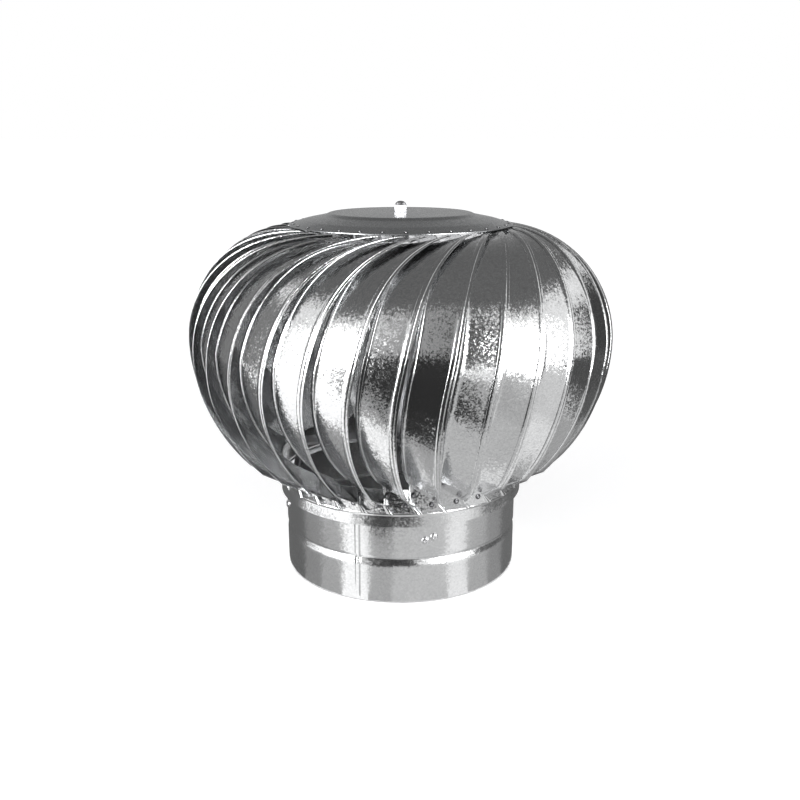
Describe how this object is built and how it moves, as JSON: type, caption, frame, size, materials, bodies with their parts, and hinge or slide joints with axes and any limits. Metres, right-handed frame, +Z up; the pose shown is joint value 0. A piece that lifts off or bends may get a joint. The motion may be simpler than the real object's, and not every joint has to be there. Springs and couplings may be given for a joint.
{
  "type": "roof turbine ventilator",
  "caption": "Galvanised roof turbine ventilator for a round duct: a free-spinning head of hemmed, swirled, overlapping blades on a fixed collar with a bow bracket and bearings.",
  "frame": {"origin": "centre of the collar's bottom rim, on the axis of rotation", "axes": "+Z up along the axis of rotation, -Y towards the front, +X to the right seen from the front"},
  "size_m": [0.3524, 0.3524, 0.3106],
  "materials": {
    "galvanised_sheet": "hot-dip galvanised sheet with fine spangle",
    "zinc_plated_steel": "zinc plated pressed and turned steel",
    "bright_zinc": "bright zinc plated fasteners",
    "aluminium_rivets": "plain aluminium pop rivets",
    "ground_steel": "ground bearing steel",
    "spring_steel": "black phosphated spring steel"
  },
  "bodies": {
    "base": {"bearing_bracket": "zinc_plated_steel", "bearing_housing": "zinc_plated_steel", "collar": "galvanised_sheet", "housing_bolts": "bright_zinc", "housing_nuts": "bright_zinc", "lower_bearing_outer_ring": "ground_steel", "lower_housing_clip": "spring_steel", "spider_rivets": "aluminium_rivets", "upper_bearing_outer_ring": "ground_steel", "upper_housing_clip": "spring_steel"},
    "rotor": {"blade_01": "galvanised_sheet", "blade_02": "galvanised_sheet", "blade_03": "galvanised_sheet", "blade_04": "galvanised_sheet", "blade_05": "galvanised_sheet", "blade_06": "galvanised_sheet", "blade_07": "galvanised_sheet", "blade_08": "galvanised_sheet", "blade_09": "galvanised_sheet", "blade_10": "galvanised_sheet", "blade_11": "galvanised_sheet", "blade_12": "galvanised_sheet", "blade_13": "galvanised_sheet", "blade_14": "galvanised_sheet", "blade_15": "galvanised_sheet", "blade_16": "galvanised_sheet", "blade_17": "galvanised_sheet", "blade_18": "galvanised_sheet", "blade_19": "galvanised_sheet", "blade_20": "galvanised_sheet", "blade_21": "galvanised_sheet", "blade_22": "galvanised_sheet", "blade_23": "galvanised_sheet", "blade_24": "galvanised_sheet", "blade_25": "galvanised_sheet", "blade_26": "galvanised_sheet", "blade_27": "galvanised_sheet", "blade_28": "galvanised_sheet", "blade_29": "galvanised_sheet", "blade_30": "galvanised_sheet", "blade_31": "galvanised_sheet", "blade_32": "galvanised_sheet", "bottom_ring": "galvanised_sheet", "top_cap": "galvanised_sheet", "cap_nut": "bright_zinc", "hub_flange": "zinc_plated_steel", "rotor_shaft": "ground_steel", "shaft_clip": "spring_steel", "lower_bearing_inner_ring": "ground_steel", "upper_bearing_inner_ring": "ground_steel"}
  },
  "joints": [
    {"name": "rotor_spin", "type": "hinge", "parent": "base", "child": "rotor", "pos_m": [0, 0, 0.15], "axis": [0, 0, 1], "continuous": true}
  ]
}
